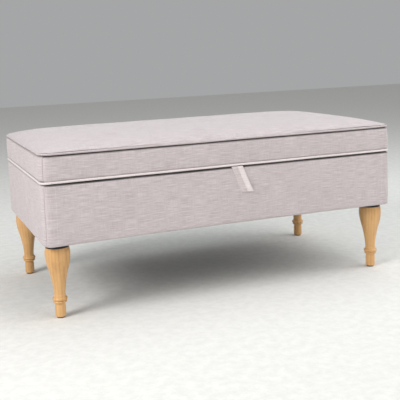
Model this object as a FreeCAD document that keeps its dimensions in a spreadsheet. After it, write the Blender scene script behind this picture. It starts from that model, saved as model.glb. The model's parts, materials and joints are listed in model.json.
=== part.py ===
"""A storage bench: an upholstered box on four turned legs, with a hinged cushion lid.

Millimetres, +Z up. The origin is on the floor under the middle of the box, +X runs along
the bench and -Y is the front.
"""
import FreeCAD, Part

import os
import re

import Sketcher

X_AXIS = FreeCAD.Vector(1, 0, 0)
Y_AXIS = FreeCAD.Vector(0, 1, 0)
Z_AXIS = FreeCAD.Vector(0, 0, 1)

# The driving sizes, each under the name that the expressions use.
SIZES = {
    # the box
    "body_length": 940, "body_depth": 495, "leg_height": 180, "box_height": 142.5,
    "side_round": 22, "rim_round": 5, "cloth": 1.5, "padding": 8, "panel": 15,
    "bottom_panel": 12, "block_share": 0.6, "block_clearance": 8, "lining": 1, "lining_round": 14,
    "lining_gap": 0.2, "floor_gap": 1.7, "dust_cover": 0.8, "dust_gap": 0.3,
    # the legs
    "leg_inset_x": 36.5, "leg_inset_y": 46, "glide": 2.5, "glide_radius": 9, "pin_radius": 2,
    "pin_length": 9, "spacer": 10, "spacer_radius": 27, "bolt_radius": 3.9, "bolt_in_leg": 44,
    "bolt_gap": 0.1, "nut_radius": 5, "nut_barrel": 9, "nut_flange": 1.3, "nut_flange_radius": 9,
    "foot_edge": 3, "foot_radius": 12.6, "foot_top": 27, "step_radius": 11.4, "bead_low": 36.2,
    "bead_edge": 0.4, "small_bead": 5, "small_bead_out": 2, "bead": 8.6, "bead_root": 14.2,
    "bead_out": 3.4, "neck_radius": 13.1, "neck_height": 57, "waist_radius": 23.6,
    "waist_down": 52, "waist_sag": 1.8, "bulb_radius": 29.5, "bulb_down": 21.5,
    "leg_top_radius": 27.3,
    # the lid
    "lid_gap": 2.5, "lid_lining": 0.8, "lid_board": 12, "board_inset": 6.5, "low_piping": 5.5,
    "top_piping": 5, "low_proud": 2, "top_proud": 1.5, "lid_side": 65, "wadding_lap": 2,
    "crown": 19, "crown_round": 16, "bumper": 2.2, "bumper_radius": 6, "bumper_inset": 80,
    # the pull tab
    "tab_middle": 12, "tab_width": 31, "tab_length": 66, "tab_lean": 25.5, "tab_thick": 3.4,
    "tab_gap": 0.8, "tab_drop": 2, "tab_soft": 1.5,
    # the hinges
    "hinge_inset": 170, "leaf": 1.2, "leaf_width": 60, "leaf_depth": 30, "knuckle_radius": 3.2,
    "knuckle_gap": 0.2, "leaf_clearance": 0.4, "pin_rod": 1.5, "running_gap": 0.05,
    "screw_pitch": 20, "screw_shank": 1.6, "screw_head": 3.3, "screw_length": 11,
    # the lid stays
    "stay_inset": 14.3, "stay_off_floor": 11, "stay_under_lid": 12.25, "tube_radius": 7,
    "tube_bore": 5.6, "tube_end": 2, "mouth": 3.5, "rod_radius": 3, "piston": 3.5,
    "piston_gap": 0.1, "piston_rest": 0.8, "socket_radius": 6, "socket_back": 7, "socket_low": 7,
    "socket_high": 7.5, "ball_radius": 4.5, "ball_gap": 0.08, "stud_radius": 2.2,
    "socket_throat": 3, "tube_clearance": 1.5, "bracket": 1.5, "bracket_half": 12, "bracket_screw": 8,
    "bracket_side_gap": 1.3, "plate_back": 6, "plate_front": 15, "plate_half": 8,
    "plate_screw": 4.5, "plate_screw_front": 10, "plate_gap": 0.2,
    # the box's screws
    "box_screw_head": 4, "box_screw_shank": 2, "box_screw_length": 40, "box_screw_inset": 38,
    "box_screw_sunk": 4,
}

# Levels and places that several pieces share, as expressions on those sizes.
RIM = "(leg_height + box_height)"
LID = f"({RIM} + lid_gap)"
PANEL_LOW = "(leg_height + cloth)"
PANEL_TALL = "(box_height - 2 * cloth)"
CORE_LENGTH = "(body_length - 2 * cloth)"
CORE_DEPTH = "(body_depth - 2 * cloth)"
WOOD_LENGTH = "(body_length - 2 * cloth - 2 * padding)"
WOOD_DEPTH = "(body_depth - 2 * cloth - 2 * padding)"
WOOD_ROUND = "(side_round - cloth - padding)"
INNER_LENGTH = f"({WOOD_LENGTH} - 2 * panel)"
INNER_DEPTH = f"({WOOD_DEPTH} - 2 * panel)"
BOTTOM_TOP = f"({PANEL_LOW} + bottom_panel)"
FLOOR_LOW = f"({BOTTOM_TOP} + floor_gap)"
LEG_X = "(body_length / 2 - leg_inset_x)"
LEG_Y = "(body_depth / 2 - leg_inset_y)"
LEG_TOP = "(leg_height - spacer)"
BOARD_LOW = f"({LID} + lid_lining)"
BOARD_TOP = f"({BOARD_LOW} + lid_board)"
BAND_LOW = f"({LID} + low_piping)"
BAND_TOP = f"({LID} + lid_side)"
TOP_LENGTH = "(body_length + 2 * top_proud - 2 * top_piping)"
TOP_DEPTH = "(body_depth + 2 * top_proud - 2 * top_piping)"
HINGE_X = "(body_length / 2 - hinge_inset)"
HINGE_Y = "(body_depth / 2 + low_proud + leaf_clearance / 2 + knuckle_radius + running_gap)"
HINGE_Z = f"({RIM} + lid_gap / 2)"
LEAF_FRONT = f"({HINGE_Y} - leaf_depth)"
SCREW_Y = f"({WOOD_DEPTH} / 2 - panel / 2)"
STAY_X = f"({INNER_LENGTH} / 2 - lining_gap - lining - stay_inset)"
STAY_DROP = f"({HINGE_Z} - {FLOOR_LOW} - lining - stay_off_floor)"
STAY_BACK = f"({HINGE_Y} - {INNER_DEPTH} / 2 + lining_gap + lining_round + plate_back + plate_gap)"
STAY_UNDER = f"({HINGE_Z} - {LID} + stay_under_lid)"
# Both ball studs are this far from the hinge pins, so the strut turns half as far as the lid.
STAY_REACH = f"hypot({STAY_DROP}; {STAY_BACK})"
LOW_ANGLE = f"atan2({STAY_DROP}; {STAY_BACK})"
TOP_ANGLE = f"asin({STAY_UNDER} / {STAY_REACH})"
STAY_LEAN = f"(({LOW_ANGLE} + {TOP_ANGLE}) / 2)"
STAY_CLOSED = f"(2 * {STAY_REACH} * sin(({LOW_ANGLE} - {TOP_ANGLE}) / 2))"
LOW_STUD_Y = f"({HINGE_Y} - {STAY_BACK})"
LOW_STUD_Z = f"({HINGE_Z} - {STAY_DROP})"
TOP_STUD_Y = f"({HINGE_Y} - {STAY_REACH} * cos({TOP_ANGLE}))"
TOP_STUD_Z = f"({HINGE_Z} - {STAY_UNDER})"
TUBE_LENGTH = f"({STAY_CLOSED} - socket_low - socket_high - tube_clearance)"

doc = FreeCAD.newDocument("storage_bench")
sizes = doc.addObject("Spreadsheet::Sheet", "sizes")
for row, (alias, size) in enumerate(SIZES.items(), start=1):
    sizes.set(f"A{row}", alias)
    sizes.set(f"B{row}", str(size))
    sizes.setAlias(f"B{row}", alias)
doc.recompute()

nodes = []


def on_sheet(text):
    """The expression with each size's name pointing at the sheet."""
    return re.sub(r"[a-z_0-9]+", lambda word: "sizes." + word[0] if word[0] in SIZES else word[0], text)


def bind(thing, **expressions):
    """Ties properties of an object to expressions."""
    for name, text in expressions.items():
        thing.setExpression(name, on_sheet(text))


def number(text):
    """What an expression on the sizes comes to now."""
    return float(sizes.evalExpression(text))


def place(thing, x="0", y="0", z="0", turn=None, angle=0.0):
    """Puts an object at expressions, turned about an axis by a fixed angle in degrees."""
    if turn is not None:
        thing.Placement = FreeCAD.Placement(FreeCAD.Vector(), FreeCAD.Rotation(turn, angle))
    for letter, text in zip("xyz", (x, y, z)):
        thing.setExpression(f"Placement.Base.{letter}", on_sheet(text))
    return thing


def node(thing, name):
    """Marks an object as a piece of the bench, under the name of its file."""
    thing.Label = name
    nodes.append(thing)
    return thing


def primitive(kind, **expressions):
    """A Part primitive with sizes bound to expressions."""
    thing = doc.addObject(f"Part::{kind}", kind)
    bind(thing, **expressions)
    return thing


def cylinder(radius, height):
    return primitive("Cylinder", Radius=radius, Height=height)


def box(x, y, z, low_x, low_y, low_z):
    """A box from its three sides and its lowest corner."""
    return place(primitive("Box", Length=x, Width=y, Height=z), low_x, low_y, low_z)


def cut(base, *tools):
    for tool in tools:
        result = doc.addObject("Part::Cut", "cut")
        result.Base = base
        result.Tool = tool
        base = result
    return base


def common(base, tool):
    result = doc.addObject("Part::Common", "common")
    result.Base = base
    result.Tool = tool
    return result


def fuse(*shapes):
    result = doc.addObject("Part::MultiFuse", "fuse")
    result.Shapes = list(shapes)
    return result


def group(*shapes):
    """Several separate solids of one kind as one piece."""
    result = doc.addObject("Part::Compound", "group")
    result.Links = list(shapes)
    return result


# ---------------------------------------------------------------- sketches and bodies


def new_body():
    return doc.addObject("PartDesign::Body", "body")


def new_sketch(body, plane="XY_Plane"):
    sketch = body.newObject("Sketcher::SketchObject", "sketch")
    origin_plane = [feature for feature in body.Origin.OriginFeatures if feature.Role == plane][0]
    sketch.AttachmentSupport = [(origin_plane, "")]
    sketch.MapMode = "FlatFace"
    return sketch


def measure(sketch, kind, *where, size):
    """Adds a dimension whose value is an expression."""
    index = sketch.addConstraint(Sketcher.Constraint(kind, *where, number(size)))
    sketch.setExpression(f"Constraints[{index}]", on_sheet(size))


def draw_polygon(sketch, corners):
    """A closed outline of straight lines whose corners are pairs of expressions, none negative."""
    places = [FreeCAD.Vector(number(x), number(y), 0) for x, y in corners]
    for index, start in enumerate(places):
        sketch.addGeometry(Part.LineSegment(start, places[(index + 1) % len(places)]))
    for index, (x, y) in enumerate(corners):
        after = (index + 1) % len(corners)
        sketch.addConstraint(Sketcher.Constraint("Coincident", index, 2, after, 1))
        measure(sketch, "DistanceX", -1, 1, index, 1, size=x)
        measure(sketch, "DistanceY", -1, 1, index, 1, size=y)


def draw_rectangle(sketch, length, depth):
    """A rectangle centred on the sketch's origin."""
    half_x, half_y = number(length) / 2, number(depth) / 2
    corners = [FreeCAD.Vector(x, y, 0) for x, y in
               ((-half_x, -half_y), (half_x, -half_y), (half_x, half_y), (-half_x, half_y))]
    for index in range(4):
        sketch.addGeometry(Part.LineSegment(corners[index], corners[(index + 1) % 4]))
    for index in range(4):
        sketch.addConstraint(Sketcher.Constraint("Coincident", index, 2, (index + 1) % 4, 1))
        sketch.addConstraint(Sketcher.Constraint(("Horizontal", "Vertical")[index % 2], index))
    sketch.addConstraint(Sketcher.Constraint("Symmetric", 0, 1, 1, 2, -1, 1))
    measure(sketch, "DistanceX", 0, 1, 0, 2, size=length)
    measure(sketch, "DistanceY", 1, 1, 1, 2, size=depth)


def draw_rounded(sketch, length, depth, radius):
    """A rectangle with round corners, centred on the sketch's origin."""
    half_x, half_y, corner = number(length) / 2, number(depth) / 2, number(radius)
    in_x, in_y = half_x - corner, half_y - corner
    sides = (((-in_x, -half_y), (in_x, -half_y)), ((half_x, -in_y), (half_x, in_y)),
             ((in_x, half_y), (-in_x, half_y)), ((-half_x, in_y), (-half_x, -in_y)))
    centres = ((in_x, -in_y), (in_x, in_y), (-in_x, in_y), (-in_x, -in_y))
    quarter = FreeCAD.Units.Quantity("90 deg").getValueAs("rad").Value
    for index in range(4):
        start, end = (FreeCAD.Vector(*point, 0) for point in sides[index])
        sketch.addGeometry(Part.LineSegment(start, end))
        circle = Part.Circle(FreeCAD.Vector(*centres[index], 0), Z_AXIS, corner)
        sketch.addGeometry(Part.ArcOfCircle(circle, (index - 1) * quarter, index * quarter))
    for index in range(4):
        line, arc, after = 2 * index, 2 * index + 1, (2 * index + 2) % 8
        sketch.addConstraint(Sketcher.Constraint("Tangent", line, 2, arc, 1))
        sketch.addConstraint(Sketcher.Constraint("Tangent", arc, 2, after, 1))
        sketch.addConstraint(Sketcher.Constraint(("Horizontal", "Vertical")[index % 2], line))
        if index:
            sketch.addConstraint(Sketcher.Constraint("Equal", 1, arc))
    sketch.addConstraint(Sketcher.Constraint("Symmetric", 1, 3, 5, 3, -1, 1))
    measure(sketch, "Radius", 1, size=radius)
    measure(sketch, "DistanceX", 6, 1, 2, 1, size=length)
    measure(sketch, "DistanceY", 0, 1, 4, 1, size=depth)


def edges_at(shape, level):
    """The names of the edges that lie flat at a level."""
    return [f"Edge{index}" for index, edge in enumerate(shape.Edges, start=1)
            if abs(edge.BoundBox.ZMin - level) < 1e-4 and abs(edge.BoundBox.ZMax - level) < 1e-4]


def soften(body, feature, level, radius):
    """Rounds the edges of a padded body that lie at a level."""
    doc.recompute()
    fillet = body.newObject("PartDesign::Fillet", "fillet")
    fillet.Base = (feature, edges_at(feature.Shape, level))
    bind(fillet, Radius=radius)
    return fillet


def slab(length, depth, height, low, corner=None, top_round=None, low_round=None):
    """A flat block centred over the origin, from its level, with round corners or rims."""
    body = new_body()
    sketch = new_sketch(body)
    if corner is None:
        draw_rectangle(sketch, length, depth)
    else:
        draw_rounded(sketch, length, depth, corner)
    pad = body.newObject("PartDesign::Pad", "pad")
    pad.Profile = sketch
    bind(pad, Length=height)
    last = pad
    if top_round is not None:
        last = soften(body, last, number(height), top_round)
    if low_round is not None:
        soften(body, last, 0, low_round)
    place(body, z=low)
    return body


def mitred(ring, name, low, height):
    """Splits a ring round the bench into its four sides, joined on the corners' diagonals."""
    reach = "(side_round + 2 * padding + panel)"
    for side in ("front", "back", "left", "right"):
        along, across = ("body_length", "body_depth")
        if side in ("left", "right"):
            along, across = across, along
        wedge = primitive(
            "Wedge", Xmin=f"-{along} / 2", Xmax=f"{along} / 2", X2min=f"-{along} / 2 + {reach}",
            X2max=f"{along} / 2 - {reach}", Ymin="0 - " + across + " / 2",
            Ymax=f"{reach} - {across} / 2", Zmin=low, Zmax=f"{low} + {height}", Z2min=low,
            Z2max=f"{low} + {height}")
        quarter_turns = {"front": 0, "right": 1, "back": 2, "left": 3}[side]
        place(wedge, turn=Z_AXIS, angle=90 * quarter_turns)
        node(common(ring, wedge), f"{name}_{side}")


# ---------------------------------------------------------------- the box


def box_panels():
    """Plywood sides, bottom and corner blocks, screwed together."""
    outline = slab(WOOD_LENGTH, WOOD_DEPTH, PANEL_TALL, PANEL_LOW, WOOD_ROUND)
    for name, sign in (("front_panel", "-"), ("back_panel", "")):
        panel = slab(WOOD_LENGTH, "panel", PANEL_TALL, PANEL_LOW)
        place(panel, y=f"{sign}({WOOD_DEPTH} - panel) / 2", z=PANEL_LOW)
        node(common(panel, outline), name)
    for name, sign in (("left_end_panel", "-"), ("right_end_panel", "")):
        panel = slab("panel", INNER_DEPTH, PANEL_TALL, PANEL_LOW)
        place(panel, x=f"{sign}({WOOD_LENGTH} - panel) / 2", z=PANEL_LOW)
        node(common(panel, outline), name)
    bottom = slab(INNER_LENGTH, INNER_DEPTH, "bottom_panel", PANEL_LOW)
    node(cut(bottom, *at_legs(lambda: cylinder("nut_radius + bolt_gap", "bottom_panel + cloth"),
                              "leg_height")), "bottom_panel")
    block_leg = "lining_round * block_share"
    blocks = []
    for angle, sign_x, sign_y in ((0, "-", "-"), (90, "", "-"), (180, "", ""), (270, "-", "")):
        body = new_body()
        sketch = new_sketch(body)
        draw_polygon(sketch, (("0", "0"), (block_leg, "0"), ("0", block_leg)))
        pad = body.newObject("PartDesign::Pad", "pad")
        pad.Profile = sketch
        bind(pad, Length=f"{PANEL_TALL} - bottom_panel - block_clearance")
        blocks.append(place(body, f"{sign_x}{INNER_LENGTH} / 2", f"{sign_y}{INNER_DEPTH} / 2",
                            BOTTOM_TOP, Z_AXIS, angle))
    node(group(*blocks), "corner_blocks")


def box_screws():
    """Screws through the long panels into the ends, near the top and the bottom."""
    screws = []
    for sign_y, angle in (("-", 90), ("", -90)):
        for sign_x in ("-", ""):
            for level in (f"{PANEL_LOW} + box_screw_inset", f"{RIM} - cloth - box_screw_inset"):
                screws.append(place(
                    screw("box_screw_shank", "box_screw_head", "box_screw_head / 2", "box_screw_length"),
                    f"{sign_x}({WOOD_LENGTH} - panel) / 2",
                    f"{sign_y}({WOOD_DEPTH} / 2 - box_screw_sunk)", level, X_AXIS, angle))
    node(group(*screws), "panel_screws")


def upholstery():
    """Padding on the four sides, and the four cover panels that wrap the box."""
    core = slab(CORE_LENGTH, CORE_DEPTH, PANEL_TALL, PANEL_LOW, "side_round - cloth",
                "rim_round - cloth", "rim_round - cloth")
    wood = slab(WOOD_LENGTH, WOOD_DEPTH, PANEL_TALL, PANEL_LOW, WOOD_ROUND)
    mitred(cut(core, wood), "padding", "leg_height", "box_height")
    outside = slab("body_length", "body_depth", "box_height", "leg_height", "side_round",
                   "rim_round", "rim_round")
    mouth = slab(INNER_LENGTH, INNER_DEPTH, "box_height", "leg_height", "lining_round")
    mitred(cut(outside, core, mouth), "cover", "leg_height", "box_height")


def linings():
    """The cloth tray inside the box, and the dust cover under it."""
    outside = slab(f"{INNER_LENGTH} - 2 * lining_gap", f"{INNER_DEPTH} - 2 * lining_gap",
                   f"{RIM} - {FLOOR_LOW} - lining_gap", FLOOR_LOW, "lining_round")
    inside = slab(f"{INNER_LENGTH} - 2 * lining_gap - 2 * lining",
                  f"{INNER_DEPTH} - 2 * lining_gap - 2 * lining", "box_height",
                  f"{FLOOR_LOW} + lining", "lining_round - lining")
    node(cut(outside, inside), "box_lining")
    dust = slab(f"{INNER_LENGTH} - 2 * dust_gap", f"{INNER_DEPTH} - 2 * dust_gap", "dust_cover",
                f"{PANEL_LOW} - dust_cover", "lining_round")
    holes = at_legs(lambda: cylinder("nut_radius + bolt_gap", "box_height"), "leg_height")
    node(cut(dust, *holes), "dust_cover")


# ---------------------------------------------------------------- the legs


def at_legs(make, level):
    """One object at each leg's axis."""
    return [place(make(), f"{sign_x}{LEG_X}", f"{sign_y}{LEG_Y}", level)
            for sign_x in ("-", "") for sign_y in ("-", "")]


def end_at(sketch, index, point):
    """Which end of a line or arc, 1 or 2, lies at a point."""
    return min((1, 2), key=lambda end: sketch.getPoint(index, end).distanceToPoint(point))


def draw_profile(sketch, outline):
    """A closed outline of lines and arcs: each corner is x, y and how far the next run bulges."""
    corners = [FreeCAD.Vector(number(x), number(y), 0) for x, y, _ in outline]
    for index, (x, y, out) in enumerate(outline):
        after = (index + 1) % len(outline)
        start, end = corners[index], corners[after]
        if out is None:
            sketch.addGeometry(Part.LineSegment(start, end))
        else:
            chord = end - start
            side = FreeCAD.Vector(chord.y, -chord.x, 0).normalize()
            middle = (start + end) * 0.5 + side * number(out)
            sketch.addGeometry(Part.Arc(start, middle, end))
    for index, (x, y, out) in enumerate(outline):
        after = (index + 1) % len(outline)
        sketch.addConstraint(Sketcher.Constraint(
            "Coincident", index, end_at(sketch, index, corners[after]),
            after, end_at(sketch, after, corners[after])))
        first = end_at(sketch, index, corners[index])
        measure(sketch, "DistanceX", -1, 1, index, first, size=x)
        measure(sketch, "DistanceY", -1, 1, index, first, size=y)
        if out is not None:
            half = f"hypot({outline[after][0]} - ({x}); {outline[after][1]} - ({y})) / 2"
            measure(sketch, "Radius", index,
                    size=f"(pow({half}; 2) + pow({out}; 2)) / (2 * abs({out}))")


def turned_leg():
    """A leg turned about its axis: foot, two beads, long taper and bulb, bored at both ends."""
    bead_two = "bead_low + bead_edge + small_bead"
    bead_end = f"{bead_two} + bead"
    bore = "bolt_radius + bolt_gap / 2"
    bore_end = f"{LEG_TOP} - bolt_in_leg"
    body = new_body()
    sketch = new_sketch(body, "XZ_Plane")
    draw_profile(sketch, (
        ("pin_radius", "glide", None),
        ("foot_radius - foot_edge", "glide", "foot_edge * (1 - sqrt(0.5))"),
        ("foot_radius", "glide + foot_edge", None),
        ("foot_radius", "foot_top", None),
        ("step_radius", "bead_low", None),
        ("bead_root", "bead_low + bead_edge", "small_bead_out"),
        ("bead_root", bead_two, "bead_out"),
        ("bead_root", bead_end, None),
        ("neck_radius", "neck_height", "-waist_sag"),
        ("waist_radius", f"{LEG_TOP} - waist_down", "(bulb_radius - waist_radius) / 8"),
        ("bulb_radius", f"{LEG_TOP} - bulb_down", "(bulb_radius - leg_top_radius) / 2"),
        ("leg_top_radius", LEG_TOP, None),
        (bore, LEG_TOP, None),
        (bore, bore_end, None),
        ("0", bore_end, None),
        ("0", "glide + pin_length", None),
        ("pin_radius", "glide + pin_length", None),
    ))
    turning = body.newObject("PartDesign::Revolution", "turning")
    turning.Profile = sketch
    turning.ReferenceAxis = (sketch, ["V_Axis"])
    turning.Angle = 360
    return body


def legs():
    """Four legs with their hanger bolts, nuts, spacers and glides."""
    for name, sign_x, sign_y in (("front_left", "-", "-"), ("front_right", "", "-"),
                                 ("back_left", "-", ""), ("back_right", "", "")):
        node(place(turned_leg(), f"{sign_x}{LEG_X}", f"{sign_y}{LEG_Y}"), f"leg_{name}")
    spacers = at_legs(lambda: cut(cylinder("spacer_radius", "spacer"),
                                  cylinder("bolt_radius + bolt_gap / 2", "spacer")), LEG_TOP)
    node(group(*spacers), "leg_spacers")
    bolt_low = f"{LEG_TOP} - bolt_in_leg + bolt_gap"
    nut_top = f"{BOTTOM_TOP} + nut_flange"
    bolts = at_legs(lambda: cylinder("bolt_radius", f"{nut_top} - ({bolt_low})"), bolt_low)
    node(group(*bolts), "hanger_bolts")
    node(group(*at_legs(leg_nut, BOTTOM_TOP)), "leg_nuts")
    node(group(*at_legs(lambda: fuse(cylinder("glide_radius", "glide"),
                                     cylinder("pin_radius", "glide + pin_length")), "0")), "leg_glides")


def leg_nut():
    """A flanged nut whose barrel hangs into the bottom panel."""
    barrel = place(cylinder("nut_radius", "nut_barrel + nut_flange"), z="-nut_barrel")
    bore = place(cylinder("bolt_radius + bolt_gap / 2", "nut_barrel + 2 * nut_flange"),
                 z="-nut_barrel")
    return cut(fuse(barrel, cylinder("nut_flange_radius", "nut_flange")), bore)


# ---------------------------------------------------------------- the lid


def piping(diameter, proud, low):
    """A round cord in cloth, run once round the bench, standing proud of its face."""
    length = f"body_length + 2 * {proud} - {diameter}"
    depth = f"body_depth + 2 * {proud} - {diameter}"
    corner = f"side_round + {proud} - {diameter} / 2"
    body = new_body()
    path = new_sketch(body)
    draw_rounded(path, length, depth, corner)
    section = new_sketch(body, "YZ_Plane")
    section.addGeometry(Part.Circle(FreeCAD.Vector(), Z_AXIS, number(diameter) / 2))
    section.addConstraint(Sketcher.Constraint("Coincident", 0, 3, -1, 1))
    measure(section, "Diameter", 0, size=diameter)
    bind(section, **{"AttachmentOffset.Base.x": f"-({depth}) / 2",
                     "AttachmentOffset.Base.z": f"{corner} - ({length}) / 2"})
    doc.recompute()
    pipe = body.newObject("PartDesign::AdditivePipe", "pipe")
    pipe.Profile = section
    pipe.Spine = (path, [f"Edge{index}" for index in range(1, 9)])
    return place(body, z=f"{low} + {diameter} / 2")


def lid():
    """Board, foam, wadding, cover, band, pipings, underside cloth and bumpers."""
    node(slab("body_length - 2 * board_inset", "body_depth - 2 * board_inset", "lid_board",
              BOARD_LOW, "side_round - board_inset"), "lid_board")
    node(slab("body_length - 2 * board_inset", "body_depth - 2 * board_inset", "lid_lining", LID,
              "side_round - board_inset"), "lid_lining")
    node(slab(CORE_LENGTH, CORE_DEPTH, f"{BAND_TOP} - {BOARD_TOP} - wadding_lap", BOARD_TOP,
              "side_round - cloth"), "lid_foam")
    wadding = slab(f"{TOP_LENGTH} - 2 * cloth", f"{TOP_DEPTH} - 2 * cloth",
                   "crown + top_piping + wadding_lap - cloth", f"{BAND_TOP} - wadding_lap",
                   "side_round - cloth", "crown_round - cloth")
    node(wadding, "lid_wadding")
    inside = slab(f"{TOP_LENGTH} - 2 * cloth", f"{TOP_DEPTH} - 2 * cloth",
                  "crown + top_piping + wadding_lap - cloth", f"{BAND_TOP} - wadding_lap",
                  "side_round - cloth", "crown_round - cloth")
    outside = slab(TOP_LENGTH, TOP_DEPTH, "crown + top_piping", BAND_TOP, "side_round",
                   "crown_round")
    node(cut(outside, inside), "lid_top_cover")
    band_tall = f"({BAND_TOP} - {BAND_LOW})"
    band = cut(slab("body_length", "body_depth", band_tall, BAND_LOW, "side_round"),
               slab(CORE_LENGTH, CORE_DEPTH, band_tall, BAND_LOW, "side_round - cloth"))
    mitred(band, "lid_band", BAND_LOW, band_tall)
    node(piping("low_piping", "low_proud", LID), "lid_piping_bottom")
    node(piping("top_piping", "top_proud", BAND_TOP), "lid_piping_top")
    rim_x = f"({WOOD_LENGTH} - panel) / 2"
    rim_y = f"({WOOD_DEPTH} - panel) / 2"
    spots = [(f"{sign}(body_length / 2 - bumper_inset)", f"-{rim_y}") for sign in ("-", "")]
    spots += [(f"{sign}{rim_x}", "0") for sign in ("-", "")]
    node(group(*(place(cylinder("bumper_radius", "bumper"), x, y, f"{LID} - bumper")
                 for x, y in spots)), "lid_bumpers")


def pull_tab():
    """A doubled strap that hangs from under the lid's front edge, sewn on at a slant."""
    body = new_body()
    sketch = new_sketch(body, "XZ_Plane")
    draw_polygon(sketch, (("tab_lean", "0"), ("tab_lean + tab_width", "0"),
                          ("tab_width", "tab_length"), ("0", "tab_length")))
    pad = body.newObject("PartDesign::Pad", "pad")
    pad.Profile = sketch
    bind(pad, Length="tab_thick")
    doc.recompute()
    top = number("tab_length")
    soft = body.newObject("PartDesign::Fillet", "fillet")
    soft.Base = (pad, [name for level in (0, top) for name in edges_at(pad.Shape, level)
                       if pad.Shape.getElement(name).BoundBox.YLength < 1e-4])
    bind(soft, Radius="tab_soft")
    node(place(body, "tab_middle - tab_width / 2", "0 - body_depth / 2 - tab_gap",
               f"{RIM} + tab_drop - tab_length"), "pull_tab")


# ---------------------------------------------------------------- screws, hinges and stays


def screw(shank, head, head_tall, length):
    """A countersunk screw that points down, with its head's top at its origin."""
    top = place(primitive("Cone", Radius1=shank, Radius2=head, Height=head_tall), z=f"-({head_tall})")
    return fuse(top, place(cylinder(shank, length), z=f"-({length})"))


def rod_along_x(radius, length, low_x, y, z):
    """A cylinder along the bench from an x."""
    return place(cylinder(radius, length), low_x, y, z, Y_AXIS, 90)


def hinge_leaf(middle, low, knuckles, screws):
    """A flat leaf with its knuckles, bored for the pin and cut for its screws."""
    near = "(knuckle_radius + leaf_clearance)"
    solids = [box("leaf_width", f"leaf_depth - {near}", "leaf", f"{middle} - leaf_width / 2",
                  LEAF_FRONT, low)]
    for start, length in knuckles:
        solids.append(box(length, f"{near} + leaf", "leaf", f"{middle} + {start}",
                          f"{HINGE_Y} - {near} - leaf", low))
        solids.append(rod_along_x("knuckle_radius", length, f"{middle} + {start}", HINGE_Y, HINGE_Z))
    bore = rod_along_x("pin_rod + running_gap", "leaf_width", f"{middle} - leaf_width / 2", HINGE_Y,
                       HINGE_Z)
    return cut(fuse(*solids), bore, screws)


def hinges():
    """Two butt hinges in the gap along the back edge, with their pins and screws."""
    third = "(leaf_width / 3)"
    outer = (("(0 - leaf_width / 2)", third), (f"({third} / 2)", third))
    inner = ((f"({third} / 2 - {third} + knuckle_gap)", f"{third} - 2 * knuckle_gap"),)
    box_screws_made, lid_screws_made, pins = [], [], []
    for side, sign in (("left", "-"), ("right", "")):
        middle = f"({sign}{HINGE_X})"
        down, up = [], []
        for step in (-1, 0, 1):
            x = f"{middle} + {step} * screw_pitch"
            size = ("screw_shank", "screw_head", "leaf", "screw_length")
            down.append(place(screw(*size), x, SCREW_Y, f"{RIM} + leaf"))
            up.append(place(screw(*size), x, SCREW_Y, f"{LID} - leaf", X_AXIS, 180))
        box_screws_made += down
        lid_screws_made += up
        node(hinge_leaf(middle, RIM, outer, group(*down)), f"hinge_{side}_box_leaf")
        node(hinge_leaf(middle, f"({LID} - leaf)", inner, group(*up)), f"hinge_{side}_lid_leaf")
        pins.append(rod_along_x("pin_rod", "leaf_width", f"{middle} - leaf_width / 2", HINGE_Y, HINGE_Z))
    node(group(*box_screws_made), "hinge_box_screws")
    node(group(*lid_screws_made), "hinge_lid_screws")
    node(group(*pins), "hinge_pins")


def ball(radius, x="0", y="0", z="0"):
    """A sphere whose seam faces the back, away from every stud."""
    return place(primitive("Sphere", Radius=radius), x, y, z, Z_AXIS, 90)


def stay_socket(low, high, sign):
    """A strut's end fitting: a round block with a ball pocket that opens towards the wall."""
    block = place(cylinder("socket_radius", f"{low} + {high}"), z=f"0 - {low}")
    pocket = ball("ball_radius + ball_gap")
    throat = place(cylinder("socket_throat", "2 * socket_radius"), turn=Y_AXIS, angle=90 * sign)
    return cut(block, pocket, throat)


def lean(thing, x, y, z):
    """Puts a strut's piece on its ball stud, at the strut's angle."""
    place(thing, x, y, z, X_AXIS, 45)
    bind(thing, **{"Placement.Rotation.Angle": STAY_LEAN})
    return thing


def ball_stud(x, y, z, sign, length):
    """A ball on a stud that points from its bracket into the bench."""
    stud = place(cylinder("stud_radius", length), x, y, z, Y_AXIS, 90 * sign)
    return ball("ball_radius", x, y, z), stud


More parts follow.
